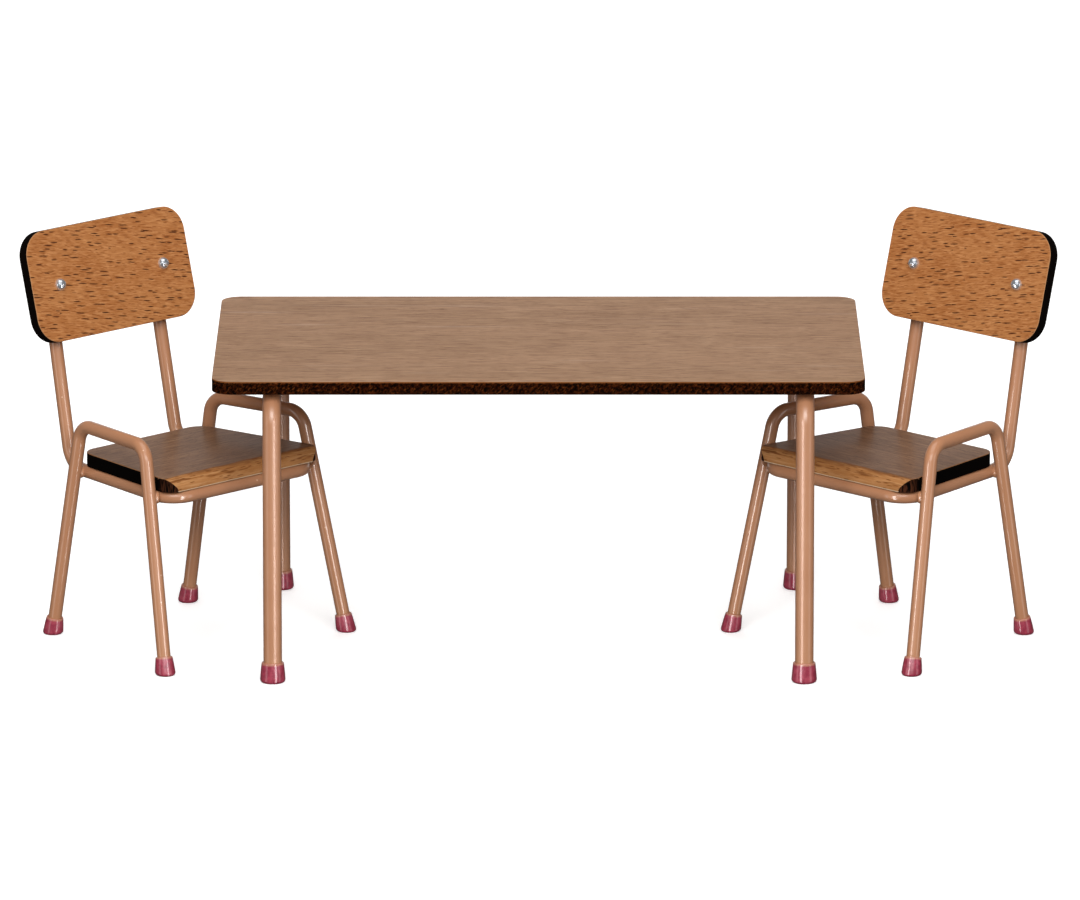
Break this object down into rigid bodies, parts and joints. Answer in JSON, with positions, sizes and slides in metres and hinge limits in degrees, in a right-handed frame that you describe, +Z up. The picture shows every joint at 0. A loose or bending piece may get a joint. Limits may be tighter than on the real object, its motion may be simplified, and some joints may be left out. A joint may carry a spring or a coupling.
{
  "type": "table and chairs set",
  "caption": "Small low table with inverted-U rod legs and armchairs with bent-rod frames, plywood seats, riveted backrests and soft foot caps.",
  "frame": {"origin": "on the floor, under the centre of the table", "axes": "+X along the table towards its right-hand end, +Y towards the rear, away from the side the chairs face, +Z up"},
  "size_m": [0.3386, 0.1314, 0.1336],
  "materials": {
    "frame_paint": "glossy tan enamel over bent steel rod, with small specks in the paint",
    "tabletop_wood": "satin beech ply with fine straight grain along the table and charred dark edges",
    "seat_wood": "satin beech ply with fine straight grain, charred edges and a sanded front edge",
    "backrest_wood": "satin beech ply with short dark flecks and charred black edges",
    "cap_rubber": "soft raspberry red moulded caps with a slightly see-through rim",
    "rivet_steel": "bright domed steel rivets",
    "screw_steel": "zinc plated pan-head screws"
  },
  "bodies": {
    "table": {"table_foot_cap_left_front": "cap_rubber", "table_foot_cap_left_rear": "cap_rubber", "table_foot_cap_right_front": "cap_rubber", "table_foot_cap_right_rear": "cap_rubber", "table_leg_frame_left": "frame_paint", "table_leg_frame_right": "frame_paint", "table_lug_left_front": "frame_paint", "table_lug_left_rear": "frame_paint", "table_lug_right_front": "frame_paint", "table_lug_right_rear": "frame_paint", "table_screws_left": "screw_steel", "table_screws_right": "screw_steel", "table_top": "tabletop_wood"},
    "chair_left": {"chair_left_backrest_board": "backrest_wood", "chair_left_foot_cap_front_left": "cap_rubber", "chair_left_foot_cap_front_right": "cap_rubber", "chair_left_foot_cap_rear_left": "cap_rubber", "chair_left_foot_cap_rear_right": "cap_rubber", "chair_left_rivet_left": "rivet_steel", "chair_left_rivet_right": "rivet_steel", "chair_left_seat_board": "seat_wood", "chair_left_seat_frame": "frame_paint", "chair_left_seat_screws": "screw_steel", "chair_left_side_frame_left": "frame_paint", "chair_left_side_frame_right": "frame_paint", "chair_left_strap_front": "frame_paint", "chair_left_strap_rear": "frame_paint", "chair_left_weld_beads": "frame_paint"},
    "chair_right": {"chair_right_backrest_board": "backrest_wood", "chair_right_foot_cap_front_left": "cap_rubber", "chair_right_foot_cap_front_right": "cap_rubber", "chair_right_foot_cap_rear_left": "cap_rubber", "chair_right_foot_cap_rear_right": "cap_rubber", "chair_right_rivet_left": "rivet_steel", "chair_right_rivet_right": "rivet_steel", "chair_right_seat_board": "seat_wood", "chair_right_seat_frame": "frame_paint", "chair_right_seat_screws": "screw_steel", "chair_right_side_frame_left": "frame_paint", "chair_right_side_frame_right": "frame_paint", "chair_right_strap_front": "frame_paint", "chair_right_strap_rear": "frame_paint", "chair_right_weld_beads": "frame_paint"}
  },
  "joints": [
    {"name": "chair_left_slide", "type": "slide", "parent": "table", "child": "chair_left", "axis": [0.7034, -0.7108, 0], "range_m": [-0.09, 0.009]},
    {"name": "chair_right_slide", "type": "slide", "parent": "table", "child": "chair_right", "axis": [-0.7034, -0.7108, 0], "range_m": [-0.09, 0.009]}
  ]
}
